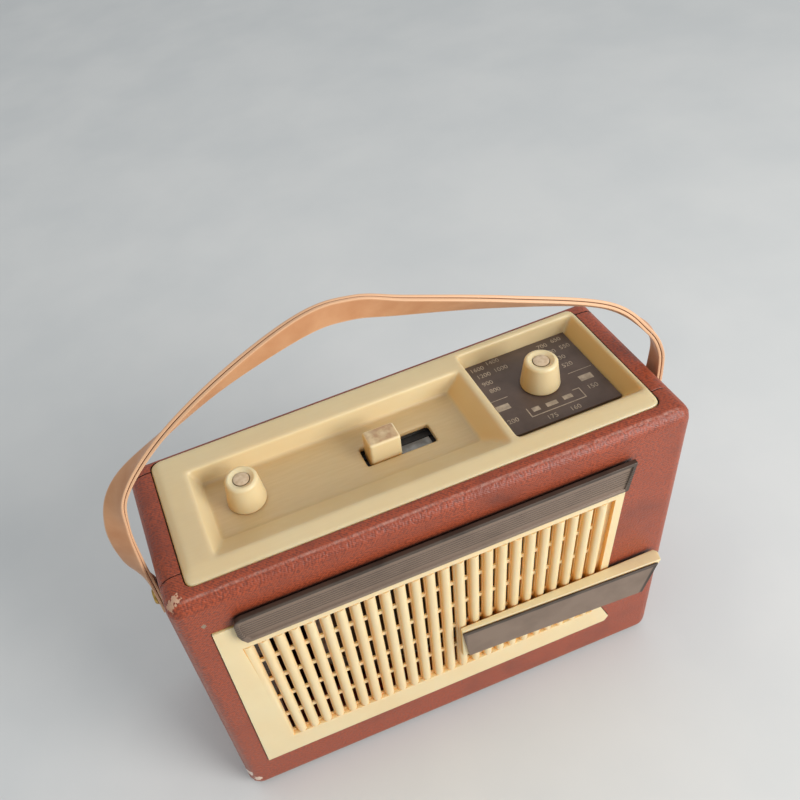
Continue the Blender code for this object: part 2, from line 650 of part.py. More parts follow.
# Loudspeaker
basket = [(SPEAKER_R, speaker_y0), (SPEAKER_R, speaker_y0 + 1.6), (SPEAKER_R - 6.0, speaker_y0 + 1.6)]
basket += [(MAGNET_R, speaker_y0 + SPEAKER_DEPTH), (8.0, speaker_y0 + SPEAKER_DEPTH)]
basket += [(8.0, speaker_y0 + SPEAKER_DEPTH - 1.6), (MAGNET_R - 1.0, speaker_y0 + SPEAKER_DEPTH - 1.6)]
basket += [(SPEAKER_R - 7.5, speaker_y0)]
centre = (SPEAKER_X, SPEAKER_Z)
part("speaker_basket", tube(basket, "y", centre, 36), steel)
cone_y1 = speaker_y0 + SPEAKER_DEPTH - 8.0
cone = [(0.0, cone_y1 - 0.8), (9.0, cone_y1 - 0.8), (SPEAKER_R - 9.4, speaker_y0)]
cone += [(SPEAKER_R - 8.2, speaker_y0), (10.0, cone_y1), (0.0, cone_y1)]
part("speaker_cone", turned(cone, "y", centre, 32), paper)
magnet_y0 = magnet_y1 - MAGNET_T
magnet = [(0.0, magnet_y0), (MAGNET_R, magnet_y0), (MAGNET_R, magnet_y1), (0.0, magnet_y1)]
part("speaker_magnet", turned(magnet, "y", centre, 28), ferrite)

# Circuit board and what stands on it
board_y0 = wall_y1 + GAP
board_y1 = board_y0 + BOARD_T
rod_z = vane_z0 - 3.0 - GAP - ROD_R - CLIP_WALL
board_z1 = rod_z - ROD_R - CLIP_WALL - GAP
board = box(chassis_x0 + 2.0, wall_x1 - 2.0, board_y0, board_y1, wall_z0 - 4.0, board_z1)
part("circuit_board", board, laminate)
on_board = board_y1 + GAP
reach = band_y1 - 1.5
for k in range(3):
    can_x = chassis_x0 + 22.0 + k * 26.0
    can_y1 = on_board + (reach - on_board) * 0.8
    can = box(can_x - 5.0, can_x + 5.0, on_board, can_y1, board_z1 - 16.0, board_z1 - 6.0)
    part("if_can_" + str(k + 1), can, steel)
    drum_x = chassis_x0 + 16.0 + k * 22.0
    drum = [(0.0, on_board), (5.0, on_board), (5.0, reach), (0.0, reach)]
    part("electrolytic_" + str(k + 1), turned(drum, "y", (drum_x, board_z1 - 60.0), 18), black)
for label, iron_x in (("driver", wall_x1 - 42.0), ("output", wall_x1 - 16.0)):
    iron = box(iron_x - 9.0, iron_x + 9.0, on_board, reach - 1.0, board_z1 - 46.0, board_z1 - 26.0)
    part(label + "_transformer", iron, steel)

# Ferrite aerial in two clips on the chassis wall
rod_y = board_y0 + CLIP_WALL + ROD_R
rod_x0 = chassis_x0 + 1.0
rod_x1 = rod_x0 + ROD_L
rod = [(0.0, rod_x0), (ROD_R, rod_x0), (ROD_R, rod_x1), (0.0, rod_x1)]
part("ferrite_rod", turned(rod, "x", (rod_y, rod_z), 18), ferrite)
for label, clip_x in (("left", rod_x0 + 8.0), ("right", rod_x1 - 8.0)):
    grip = ROD_R + CLIP_WALL
    clip = box(clip_x - 3.0, clip_x + 3.0, board_y0, rod_y + grip, rod_z - grip, rod_z + grip)
    clip = part("rod_clip_" + label, clip, black)
    bore = prism(circle(rod_y, rod_z, ROD_R + GAP, 18), "x", clip_x - 5.0, clip_x + 5.0)
    boolean(clip, bore, "cut_rod_" + label)
coil_x0 = rod_x0 + ROD_L * 0.4
coil_x1 = coil_x0 + COIL_L
coil = [(ROD_R + GAP, coil_x0), (ROD_R + 2.2, coil_x0), (ROD_R + 2.2, coil_x1), (ROD_R + GAP, coil_x1)]
part("aerial_coil", tube(coil, "x", (rod_y, rod_z), 24), copper)

# Battery in a tray on the base board
tray_x1 = deck_x - 2.0
tray_x0 = tray_x1 - BATTERY_W - 2.4 - 2 * GAP
tray_z0 = BASE_T + GAP
tray_y0 = STRAP_Y - BATTERY_D / 2
tray = [(tray_x0, tray_z0), (tray_x1, tray_z0), (tray_x1, tray_z0 + 12.0), (tray_x1 - 1.2, tray_z0 + 12.0)]
tray += [(tray_x1 - 1.2, tray_z0 + 1.2), (tray_x0 + 1.2, tray_z0 + 1.2), (tray_x0 + 1.2, tray_z0 + 12.0)]
tray += [(tray_x0, tray_z0 + 12.0)]
part("battery_tray", prism(tray, "y", tray_y0, tray_y0 + BATTERY_D), steel)
cell_x0 = tray_x0 + 1.2 + GAP
cell_z0 = tray_z0 + 1.2 + GAP
cell = box(cell_x0, cell_x0 + BATTERY_W, tray_y0, tray_y0 + BATTERY_D, cell_z0, cell_z0 + BATTERY_H)
part("battery", cell, card)
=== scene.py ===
"""Looks of a portable radio in a leathercloth case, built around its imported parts."""

import math

import bmesh
import bpy
from bpy.props import FloatProperty, FloatVectorProperty, IntProperty, PointerProperty
from mathutils import Matrix, Vector


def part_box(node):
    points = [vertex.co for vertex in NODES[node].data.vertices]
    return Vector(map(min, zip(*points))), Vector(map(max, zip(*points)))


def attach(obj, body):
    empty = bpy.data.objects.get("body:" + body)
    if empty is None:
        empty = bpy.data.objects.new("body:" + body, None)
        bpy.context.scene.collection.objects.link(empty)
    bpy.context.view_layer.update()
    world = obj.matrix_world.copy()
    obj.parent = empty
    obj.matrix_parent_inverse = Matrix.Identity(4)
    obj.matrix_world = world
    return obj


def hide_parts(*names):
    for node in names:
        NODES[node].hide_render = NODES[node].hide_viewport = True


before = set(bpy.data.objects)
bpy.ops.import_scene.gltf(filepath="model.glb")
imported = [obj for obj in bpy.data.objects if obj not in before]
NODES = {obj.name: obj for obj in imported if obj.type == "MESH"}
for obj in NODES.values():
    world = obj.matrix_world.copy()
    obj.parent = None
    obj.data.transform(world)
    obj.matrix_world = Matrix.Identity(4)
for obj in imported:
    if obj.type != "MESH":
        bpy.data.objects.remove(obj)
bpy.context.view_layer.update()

bl_info = {
    "name": "Leathercloth Portable Radio",
    "version": (1, 0, 0),
    "blender": (4, 5, 0),
    "location": "3D View > Sidebar > Radio",
    "description": "Finishes the packed parts of a portable radio",
    "category": "Object",
}

MM = 0.001
UP = Vector((0.0, 0.0, 1.0))
WELD = 0.002 * MM
BADGE_LONGER = 4.0 * MM


def linear(code):
    """An sRGB hex colour as linear red, green and blue."""
    channels = [int(code[k : k + 2], 16) / 255.0 for k in (1, 3, 5)]
    return tuple(c / 12.92 if c <= 0.04045 else ((c + 0.055) / 1.055) ** 2.4 for c in channels)


def colour(label, about, code):
    return FloatVectorProperty(
        name=label,
        description=about,
        subtype="COLOR",
        size=3,
        min=0.0,
        max=1.0,
        default=linear(code),
    )


def length(label, about, millimetres):
    return FloatProperty(
        name=label,
        description=about,
        subtype="DISTANCE",
        unit="LENGTH",
        min=0.0,
        default=millimetres * MM,
    )


class RadioColours(bpy.types.PropertyGroup):
    """Colours of the radio's finishes"""

    cloth: colour("Leathercloth", "Red-brown of the case covering", "#A4441F")
    cloth_dark: colour("Leathercloth, soiled", "Soil in the covering's grain", "#5E2412")
    # The rubbed colour below is also a painted highlight along the covering's edges.
    cloth_rubbed_and_highlit: colour("Leathercloth, rubbed", "Pinkish wear along the edges", "#CB9E8E")
    cream: colour("Cream", "Aged cream of the mouldings", "#E5D0A2")
    # The amber below is yellowing in patches and also painted glow and shade in hollows and on
    # faces turned left and back.
    amber: colour("Amber", "Deeper yellow in the mouldings' hollows", "#DCA24A")
    # The tan below is the well's soil and also painted shade, with some dust, on the deck's
    # up-facing flats.
    tan: colour("Floor tan", "Soiled floor of the control well", "#C2A474")
    bar: colour("Bars", "Grey-brown of the bars", "#836F5F")
    bar_dark: colour("Bars, lines", "Shadow lines and ends of the bars", "#33281F")
    dial: colour("Dial", "Dark brown of the dial plate", "#5E4C41")
    dial_print: colour("Dial print", "Tan print on the dial plate", "#B8A48C")
    strap: colour("Strap", "Tan leather of the carrying strap", "#CB9264")
    strap_edge: colour("Strap, cut edge", "Paler cut edges of the strap", "#DBAB82")


class RadioSizes(bpy.types.PropertyGroup):
    """Sizes of the radio's finishing details"""

    seam_round: length("Seam rounding", "Rounding where the covering turns in at a seam", 0.5)
    bar_round: length("Bar rounding", "Rounding on the bars' edges", 0.35)
    grain: length("Grain", "Pitch of the embossed grain", 1.6)
    ply_gap: length("Ply gap", "Groove between the strap's two plies", 0.25)
    turns: IntProperty(
        name="Turning steps", description="Sides of a turned piece", min=24, max=128, default=72
    )


# Node helpers


def add(tree, kind, inputs=None, **settings):
    """Adds a node with its settings, and sets or links its inputs."""
    made = tree.nodes.new(kind)
    for key, value in settings.items():
        setattr(made, key, value)
    for key, value in (inputs or {}).items():
        if isinstance(value, bpy.types.NodeSocket):
            tree.links.new(value, made.inputs[key])
        else:
            made.inputs[key].default_value = value
    return made


def surface(name, **constants):
    """A new material with its node tree, its shader and its Object coordinates."""
    made = bpy.data.materials.new(name)
    made.use_nodes = True
    tree = made.node_tree
    shader = tree.nodes["Principled BSDF"]
    for key, value in constants.items():
        shader.inputs[key.replace("_", " ")].default_value = value
    return made, tree, shader, position(tree)


def plug(tree, shader, **sockets):
    """Links sockets to the shader's inputs of those names."""
    for key, socket in sockets.items():
        tree.links.new(socket, shader.inputs[key.replace("_", " ")])


def rgba(value):
    return (*value, 1.0)


def per_mm(size):
    """Texture scale for a pattern that repeats at this size in millimetres."""
    return 1.0 / (size * MM)


def position(tree):
    return add(tree, "ShaderNodeTexCoord").outputs["Object"]


def normal(tree):
    return add(tree, "ShaderNodeNewGeometry").outputs["Normal"]


def split(tree, vector):
    """A vector's three values."""
    return add(tree, "ShaderNodeSeparateXYZ", {0: vector}).outputs


def calc(tree, operation, *values, clamp=False):
    """The result of a Math node."""
    inputs = dict(enumerate(values))
    return add(tree, "ShaderNodeMath", inputs, operation=operation, use_clamp=clamp).outputs[0]


def measure(tree, operation, first, second):
    """The result of a Vector Math node that gives one value."""
    inputs = {0: first, 1: second}
    return add(tree, "ShaderNodeVectorMath", inputs, operation=operation).outputs["Value"]


def ramp(tree, value, low, high, start=0.0, end=1.0):
    """Brings a value from between low and high to between start and end."""
    inputs = {"Value": value, "From Min": low, "From Max": high, "To Min": start, "To Max": end}
    return add(tree, "ShaderNodeMapRange", inputs).outputs[0]


def mix(tree, share, first, second):
    """Two colours, blended by the share of the second."""
    inputs = {0: share, 6: first, 7: second}
    return add(tree, "ShaderNodeMix", inputs, data_type="RGBA").outputs[2]


def noise(tree, place, size, detail, rough=0.5):
    """Patches of about this size in millimetres."""
    inputs = {"Vector": place, "Scale": per_mm(size), "Detail": detail, "Roughness": rough}
    return add(tree, "ShaderNodeTexNoise", inputs).outputs[0]


def openness(tree, reach, samples):
    """Low in corners and hollows whose walls are within reach."""
    inputs = {"Distance": reach}
    return add(tree, "ShaderNodeAmbientOcclusion", inputs, samples=samples).outputs["AO"]


def relief(tree, strength, depth, height):
    inputs = {"Strength": strength, "Distance": depth, "Height": height}
    return add(tree, "ShaderNodeBump", inputs).outputs[0]


# Materials

# Edges where the covering is rubbed and painted with a highlight: direction, narrowness and
# strength
RUBBED_AND_HIGHLIT_EDGES = (
    ((0.0, -0.45, 0.893), 0.992, 0.6),
    ((-0.72, -0.69, 0.0), 0.975, 0.3),
    ((0.72, -0.69, 0.0), 0.975, 0.35),
    ((0.0, -0.7, -0.7), 0.98, 0.3),
)
# Scuffs at the upper left corner, then chips at the lower left one:
# middle, reach and patch size in millimetres, threshold, colour
SCUFFS = (
    ((-124.5, -39.0, 194.0), 9.0, 1.4, 1.2, "#CFA586"),
    ((-126.8, -40.0, 192.5), 7.0, 1.4, 1.15, "#C99C7C"),
    ((-116.8, -45.5, 176.6), 4.0, 2.4, 1.15, "#8F7C66"),
    ((-128.9, -42.2, 17.0), 5.0, 2.5, 0.9, "#EADCCB"),
    ((-125.0, -44.9, 10.5), 4.0, 2.2, 0.9, "#E3CDB6"),
)
# Painted shade, with some grime, in the covering's seams and corners.
SEAM_GRIME_AND_SHADE = "#22100A"
# Painted shadow on the sunk floor behind the grille.
SUNK_FLOOR_SHADE = "#1A0E08"
SUNK_Y = (-43.6 * MM, -43.0 * MM)
THUMB_DIRT = "#A87B54"
STRAP_CLOUD = "#BC7F50"
# Painted shade in the groove between the strap's plies.
STRAP_SEAM_SHADE = "#9C5A33"


def leathercloth(name):
    """Vinyl-coated cloth, embossed in a fine grain: satin, rubbed pale on its edges with a painted
    highlight along them, soiled, with painted shade in its seams and a painted shadow on the sunk
    floor behind the grille.
    """
    tint = bpy.context.scene.radio_colours
    pitch = bpy.context.scene.radio_sizes.grain
    made, tree, shader, place = surface(
        name,
        IOR=1.48,
        Coat_Weight=0.15,
        Coat_Roughness=0.3,
        Sheen_Weight=0.3,
        Sheen_Roughness=0.4,
        Sheen_Tint=rgba(tint.cloth_rubbed_and_highlit),
    )
    x, y, z = split(tree, place)
    facing = normal(tree)
    # The real emboss is about 0.6 mm apart, and is drawn coarser so that it shows.
    rows = []
    for line in (calc(tree, "ADD", x, y), z):
        turn = calc(tree, "MULTIPLY", line, 2.0 * math.pi / pitch)
        rows.append(calc(tree, "SINE", turn))
    weave = calc(tree, "MULTIPLY", calc(tree, "MULTIPLY", *rows), 0.2)
    pebble = noise(tree, place, 1.3, 3.0)
    grain = calc(tree, "MULTIPLY_ADD", pebble, 2.0, weave)
    # Soil in blotches and in the grain's hollows
    blotch = ramp(tree, noise(tree, place, 34, 6.0, 0.6), 0.45, 0.8)
    fine = ramp(tree, grain, 1.25, 0.7, end=0.75)
    soil = calc(tree, "MAXIMUM", blotch, fine)
    body = mix(tree, soil, rgba(tint.cloth), rgba(tint.cloth_dark))
    # A pale line along the front's top roll, and fainter ones round its other edges: rubbed wear,
    # and a painted highlight on the roll and the front corners
    rubbed_and_highlit = 0.0
    for edge, narrow, share in RUBBED_AND_HIGHLIT_EDGES:
        near = ramp(tree, measure(tree, "DOT_PRODUCT", facing, edge), narrow, 1.0, end=share)
        rubbed_and_highlit = calc(tree, "MAXIMUM", rubbed_and_highlit, near)
    patchy = ramp(tree, noise(tree, place, 3, 10.0, 0.85), 0.4, 0.62)
    rubbed_and_highlit = calc(tree, "MULTIPLY", rubbed_and_highlit, patchy)
    body = mix(tree, rubbed_and_highlit, body, rgba(tint.cloth_rubbed_and_highlit))
    for spot, reach, size, edge, pale in SCUFFS:
        far = measure(tree, "DISTANCE", place, Vector(spot) * MM)
        inside = ramp(tree, far, reach * MM, 0.0)
        grit = calc(tree, "ADD", noise(tree, place, size, 5.0), inside)
        grit = ramp(tree, grit, edge, edge + 0.05, end=0.9)
        body = mix(tree, grit, body, rgba(linear(pale)))
    # Painted shade, with some grime, in seams and corners within 5 mm.
    hollow_painted_shade = ramp(tree, openness(tree, 5 * MM, 6), 0.3, 0.75)
    body = mix(tree, hollow_painted_shade, rgba(linear(SEAM_GRIME_AND_SHADE)), body)
    # The sunk floor behind the grille is painted dark as shadow.
    ahead = measure(tree, "DOT_PRODUCT", facing, (0.0, -1.0, 0.0))
    sunk = calc(tree, "MULTIPLY", ramp(tree, y, *SUNK_Y), ramp(tree, ahead, 0.96, 0.99))
    body = mix(tree, sunk, body, rgba(linear(SUNK_FLOOR_SHADE)))
    gloss = ramp(tree, pebble, 0.3, 0.7, 0.4, 0.56)
    bump = relief(tree, 0.8, 0.2 * MM, grain)
    plug(tree, shader, Base_Color=body, Roughness=gloss, Normal=bump, Coat_Normal=bump)
    return made


def cream_moulding(name):
    """Aged cream polystyrene: glossy, glowing amber through thin walls, with painted amber glow
    and shade in hollows and on faces turned left and back.
    """
    tint = bpy.context.scene.radio_colours
    made, tree, shader, place = surface(
        name,
        IOR=1.55,
        Subsurface_Weight=0.45,
        Subsurface_Scale=6 * MM,
        Subsurface_Radius=(1.0, 0.55, 0.22),
    )
    shader.subsurface_method = "BURLEY"
    # Painted amber shade and glow in hollows within 8 mm.
    hollow_painted_shade = ramp(tree, openness(tree, 8 * MM, 12), 0.1, 0.52)
    cloud = ramp(tree, noise(tree, place, 30, 3.0), 0.35, 0.7, 1.0, 0.86)
    # Walls that face left and back glow amber in the photo, and a deeper tint stands in for that.
    away = measure(tree, "DOT_PRODUCT", normal(tree), (-0.85, 0.5, 0.0))
    away = ramp(tree, away, 0.1, 0.8, 1.0, 0.25)
    # Amber takes the random yellowing and the painted glow and shade.
    cream_share = calc(tree, "MULTIPLY", calc(tree, "MULTIPLY", hollow_painted_shade, cloud), away)
    body = mix(tree, cream_share, rgba(tint.amber), rgba(tint.cream))
    # Any glossier, and the denoiser leaves dark marks on the cream.
    gloss = ramp(tree, noise(tree, place, 5, 4.0), 0.3, 0.7, 0.3, 0.42)
    plug(tree, shader, Base_Color=body, Roughness=gloss)
    return made


def tone_over(made, share, overlay):
    """Lays a colour over a material's own."""
    tree = made.node_tree
    shader = tree.nodes["Principled BSDF"]
    plain = shader.inputs["Base Color"].links[0].from_socket
    plug(tree, shader, Base_Color=mix(tree, share, plain, rgba(overlay)))
    return made


def deck_moulding(name):
    """The cream moulding, tanner in the well, which hands and dust have soiled, and on its flats,
    where the tan is painted shade with some dust.
    """
    made = cream_moulding(name)
    tree = made.node_tree
    place = position(tree)
    floor_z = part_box("dial_plate")[0].z
    low = ramp(tree, split(tree, place)[2], floor_z + 1.4 * MM, floor_z - 0.1 * MM)
    # Tan on up-facing flats is painted shade, with some dust.
    flat = ramp(tree, split(tree, normal(tree))[2], 0.6, 1.0, end=0.42)
    drawn = add(tree, "ShaderNodeMapping", {"Vector": place, "Scale": (0.1, 1.0, 1.0)})
    streak = ramp(tree, noise(tree, drawn.outputs[0], 1.2, 4.0), 0.35, 0.65, 0.9, 1.0)
    # The share below is soil in the well, and painted shade with some dust on the flats.
    soiled = calc(tree, "MULTIPLY", calc(tree, "MAXIMUM", low, flat), streak)
    return tone_over(made, soiled, bpy.context.scene.radio_colours.tan)


def slider_moulding(name):
    """The cream moulding, thumbed brown on its top."""
    made = cream_moulding(name)
    tree = made.node_tree
    grime = ramp(tree, noise(tree, position(tree), 5, 5.0), 0.2, 0.6)
    flat = ramp(tree, split(tree, normal(tree))[2], 0.8, 1.0, end=0.85)
    return tone_over(made, calc(tree, "MULTIPLY", flat, grime), linear(THUMB_DIRT))


def bronzed(name, node, ribbed, slant, longer):
    """Pressed and bronzed metal, satin, with fine lengthwise ribs where it has them, and painted
    shade in their grooves, along the rim and in corners.
    """
    tint = bpy.context.scene.radio_colours
    low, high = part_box(node)
    high.x += longer
    made, tree, shader, place = surface(name, Metallic=0.3)
    x, _, z = split(tree, place)
    height = calc(tree, "SUBTRACT", z, (low.z + high.z) / 2)
    wave = calc(tree, "COSINE", calc(tree, "MULTIPLY", height, 2.0 * math.pi * per_mm(1.7)))
    zone = ramp(tree, calc(tree, "ABSOLUTE", height), 5.6 * MM, 5.2 * MM, end=ribbed)
    ribs = calc(tree, "MULTIPLY", wave, zone)
    # Painted shade in the grooves between the ribs.
    line = ramp(tree, ribs, -0.2, -0.8, end=0.65)
    # Painted shade: the rim's top and its two ends are darkest, and the right end slants.
    top = ramp(tree, z, high.z - 2.3 * MM, high.z - 1.6 * MM)
    lean = calc(tree, "MULTIPLY_ADD", calc(tree, "SUBTRACT", high.z, z), slant, x)
    right = ramp(tree, lean, high.x - 2.6 * MM, high.x - 1.9 * MM)
    left = ramp(tree, x, low.x + 2.6 * MM, low.x + 1.4 * MM, end=0.6)
    rim = calc(tree, "MAXIMUM", calc(tree, "MAXIMUM", top, right), left)
    rim = calc(tree, "MULTIPLY", rim, 0.8)
    cloud = noise(tree, place, 18, 6.0)
    patchy = ramp(tree, cloud, 0.45, 0.8, end=0.3)
    shade = calc(tree, "ADD", calc(tree, "MAXIMUM", line, rim), patchy, clamp=True)
    # Painted shade in corners within 2 mm.
    hollow_painted_shade = ramp(tree, openness(tree, 2 * MM, 6), 0.85, 0.4)
    shade = calc(tree, "MAXIMUM", shade, hollow_painted_shade)
    body = mix(tree, shade, rgba(tint.bar), rgba(tint.bar_dark))
    gloss = ramp(tree, cloud, 0.3, 0.7, 0.32, 0.46)
    bump = relief(tree, 0.6, 0.2 * MM, ribs)
    plug(tree, shader, Base_Color=body, Roughness=gloss, Normal=bump)
    return made


def ribbed_bar(name):
    return bronzed(name, "name_bar", 1.0, 0.14, 0.0)


def plain_plate(name):
    return bronzed(name, "badge_plate", 0.0, 0.26, BADGE_LONGER)


def strap_leather(name):
    """Vegetable-tanned leather, rolled smooth: waxy, fine in grain, with a paler cut edge and
    painted shade in the groove between its plies.
    """
    tint = bpy.context.scene.radio_colours
    made, tree, shader, place = surface(name, IOR=1.48, Sheen_Weight=0.1)
    cloud = ramp(tree, noise(tree, place, 14, 6.0), 0.35, 0.7)
    body = mix(tree, cloud, rgba(tint.strap), rgba(linear(STRAP_CLOUD)))
    across = add(tree, "ShaderNodeAttribute", attribute_name="across").outputs["Fac"]
    edge = ramp(tree, calc(tree, "ABSOLUTE", across), 0.84, 0.97)
    body = mix(tree, edge, body, rgba(tint.strap_edge))
    # Painted shade in the groove between the plies and in corners.
    hollow_painted_shade = ramp(tree, openness(tree, 1.2 * MM, 6), 0.3, 0.8)
    body = mix(tree, hollow_painted_shade, rgba(linear(STRAP_SEAM_SHADE)), body)
    cells = {"Vector": place, "Scale": per_mm(1.1)}
    grain = add(tree, "ShaderNodeTexVoronoi", cells, feature="DISTANCE_TO_EDGE").outputs[0]
    gloss = ramp(tree, cloud, 0.0, 1.0, 0.42, 0.58)
    bump = relief(tree, 0.25, 0.1 * MM, grain)
    plug(tree, shader, Base_Color=body, Roughness=gloss, Normal=bump)
    return made


def mottled(name, light, dark, size, rough, **constants):
    """A plain finish: two close tones in soft patches, with a little of the same in its gloss."""
    made, tree, shader, place = surface(name, **constants)
    cloud = noise(tree, place, size, 6.0)
    patch = ramp(tree, cloud, 0.35, 0.65)
    body = mix(tree, patch, rgba(light), rgba(dark))
    gloss = ramp(tree, patch, 0.0, 1.0, rough - 0.06, rough + 0.08)
    bump = relief(tree, 0.15, 0.1 * MM, cloud)
    plug(tree, shader, Base_Color=body, Roughness=gloss, Normal=bump)
    return made


# Stock finishes: light tone, dark tone, patch size in millimetres, roughness, metallic
STOCK = {
    "beige cap moulding": ("#D8BE9C", "#C6A884", 2.0, 0.45, 0.0),
    "riveted brass": ("#C9A45C", "#8F6C34", 3.0, 0.34, 1.0),
    "tinned steel sheet": ("#A9A6A0", "#7E7A74", 6.0, 0.4, 1.0),
    "phenolic laminate": ("#A06A34", "#84521F", 8.0, 0.55, 0.0),
    "black phenolic": ("#2B2826", "#191716", 5.0, 0.5, 0.0),
    "cone paper": ("#5A4632", "#45341F", 4.0, 0.9, 0.0),
    "sintered ferrite": ("#45454A", "#2F2F33", 1.5, 0.6, 0.2),
    "enamelled copper": ("#B8703C", "#8E4E26", 1.2, 0.4, 0.9),
    "printed card": ("#456488", "#33506F", 10.0, 0.7, 0.0),
}


def dial_paint(name):
    paint = bpy.context.scene.radio_colours.dial
    return mottled(name, paint, tuple(c * 0.78 for c in paint), 9.0, 0.42, IOR=1.5)


def dial_ink(name):
    ink = bpy.context.scene.radio_colours.dial_print
    return mottled(name, ink, tuple(c * 0.62 for c in ink), 3.0, 0.55, IOR=1.5)


def tab_leather(name):
    return mottled(name, linear("#8E5A38"), linear("#6E4026"), 4.0, 0.55, IOR=1.48)


MADE_TO_ORDER = {
    "embossed leathercloth": leathercloth,
    "cream polystyrene": cream_moulding,
    "cream polystyrene, soiled": deck_moulding,
    "cream polystyrene, thumbed": slider_moulding,
    "bronzed bar, ribbed": ribbed_bar,
    "bronzed plate": plain_plate,
    "tanned strap leather": strap_leather,
    "brown tab leather": tab_leather,
    "dial paint": dial_paint,
    "dial ink": dial_ink,
}


def finish(name):
    """The material of that name, made the first time it is asked for."""
    if name in bpy.data.materials:
        return bpy.data.materials[name]
    if name in MADE_TO_ORDER:
        return MADE_TO_ORDER[name](name)
    light, dark, size, rough, metallic = STOCK[name]
    return mottled(name, linear(light), linear(dark), size, rough, Metallic=metallic)


# Shape helpers


def piece(name, bm, material, body, stands_for=(), sharp=35.0):
    """Turns a bmesh into a finished piece that rides on a body."""
    mesh = bpy.data.meshes.new(name)
    bm.to_mesh(mesh)
    bm.free()
    mesh.shade_smooth()
    mesh.set_sharp_from_angle(angle=math.radians(sharp))
    mesh.materials.append(finish(material))
    made = bpy.data.objects.new(name, mesh)
    bpy.context.scene.collection.objects.link(made)
    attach(made, body)
    if stands_for:
        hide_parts(*stands_for)
    return made


def weighted(made):
    """Keeps flat faces flat beside their rounded edges."""
    step = made.modifiers.new("flat faces", "WEIGHTED_NORMAL")
    step.keep_sharp = True
    return made


def joined(node):
    """A copy of a node's shape with its loose triangles joined and its flat faces made whole."""
    bm = bmesh.new()
    bm.from_mesh(NODES[node].data)
    bmesh.ops.remove_doubles(bm, verts=bm.verts, dist=WELD)
    flat = math.radians(1.0)
    bmesh.ops.dissolve_limit(bm, angle_limit=flat, verts=bm.verts, edges=bm.edges)
    return bm


def soften(bm, radius, segments=3, angle=38.0, keep=None):
    """Rounds the sharp edges, or those of them that keep accepts."""
    edges = []
    for edge in bm.edges:
        if len(edge.link_faces) == 2 and edge.calc_face_angle() > math.radians(angle):
            if keep is None or keep(edge):
                edges.append(edge)
    bmesh.ops.bevel(
        bm,
        geom=edges,
        offset=radius,
        offset_type="OFFSET",
        affect="EDGES",
        segments=segments,
        profile=0.5,
        material=-1,
        clamp_overlap=True,
    )
    return bm


def block(bm, centre, size):
    """Adds a plain block to a bmesh."""
    place = Matrix.Translation(centre) @ Matrix.Diagonal((*size, 1.0))
    bmesh.ops.create_cube(bm, size=1.0, matrix=place)


def dress(material, *nodes):
    """Gives CAD nodes that keep their shape a finished material."""
    for node in nodes:
        slots = NODES[node].data.materials
        slots.clear()
        slots.append(finish(material))


def spun(profile, centre, steps):
    """Turns a profile of (radius, height) pairs about an upright axis."""
    bm = bmesh.new()
    points = [bm.verts.new((centre.x + radius, centre.y, height)) for radius, height in profile]
    edges = [bm.edges.new(pair) for pair in zip(points, points[1:])]
    bmesh.ops.spin(
        bm,
        geom=points + edges,
        cent=centre,
        axis=UP,
        angle=2.0 * math.pi,
        steps=steps,
        use_merge=True,
    )
    bmesh.ops.remove_doubles(bm, verts=bm.verts, dist=WELD)
    bmesh.ops.recalc_face_normals(bm, faces=bm.faces)
    return bm


# The radio's groups of pieces


class RADIO_OT_case(bpy.types.Operator):
    """Covers the case boards in leathercloth, with softly turned seams"""

    bl_idname = "radio.case"
    bl_label = "Leathercloth Case"

    BOARDS = ("front_panel", "rear_panel", "left_end", "right_end", "base_board")
    SHARP = 50.0

    def execute(self, context):
        radius = context.scene.radio_sizes.seam_round
        for node in self.BOARDS:
            bm = soften(joined(node), radius, segments=2, angle=self.SHARP)
            made = piece(
                "covered_" + node,
                bm,
                "embossed leathercloth",
                "cabinet",
                [node],
                self.SHARP,
            )
            weighted(made)
        return {"FINISHED"}


class RADIO_OT_deck(bpy.types.Operator):
    """Moulds the top deck with softened edges round its two wells"""

    bl_idname = "radio.deck"
    bl_label = "Top Deck"

    VOXEL = 0.8 * MM
    PASSES = 6
    # How far the crisp zone of the slider's slot reaches round the lever, and above the floor
    CRISP_LEFT = 6 * MM
    CRISP_RIGHT = 4 * MM
    CRISP_FRONT = 4 * MM
    CRISP_BACK = 6 * MM
    CRISP_ABOVE = 1 * MM
    # How far below the wells' floor the softening reaches
    SOFT_BELOW = 2 * MM

    def execute(self, context):
        mesh = bpy.data.meshes.new("deck_block")
        bm = joined("top_deck")
        bm.to_mesh(mesh)
        bm.free()
        rough = bpy.data.objects.new("deck_block", mesh)
        context.scene.collection.objects.link(rough)
        cast = rough.modifiers.new("cast", "REMESH")
        cast.mode = "VOXEL"
        cast.voxel_size = self.VOXEL
        context.view_layer.update()
        bm = bmesh.new()
        bm.from_object(rough, context.evaluated_depsgraph_get())
        bpy.data.objects.remove(rough)
        bpy.data.meshes.remove(mesh)
        # The slider's slot and the underside stay crisp.
        floor_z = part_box("dial_plate")[0].z
        low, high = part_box("switch_lever")
        soft = []
        for vert in bm.verts:
            x, y, z = vert.co
            beside = low.x - self.CRISP_LEFT < x < high.x + self.CRISP_RIGHT
            beside = beside and low.y - self.CRISP_FRONT < y < high.y + self.CRISP_BACK
            crisp = beside and z < floor_z + self.CRISP_ABOVE
            if z > floor_z - self.SOFT_BELOW and not crisp:
                soft.append(vert)
        axes = {"use_axis_x": True, "use_axis_y": True, "use_axis_z": True}
        for _ in range(self.PASSES):
            bmesh.ops.smooth_vert(bm, verts=soft, factor=0.5, **axes)
        material = "cream polystyrene, soiled"
        piece("deck_moulding", bm, material, "cabinet", ["top_deck"], 60.0)
        return {"FINISHED"}


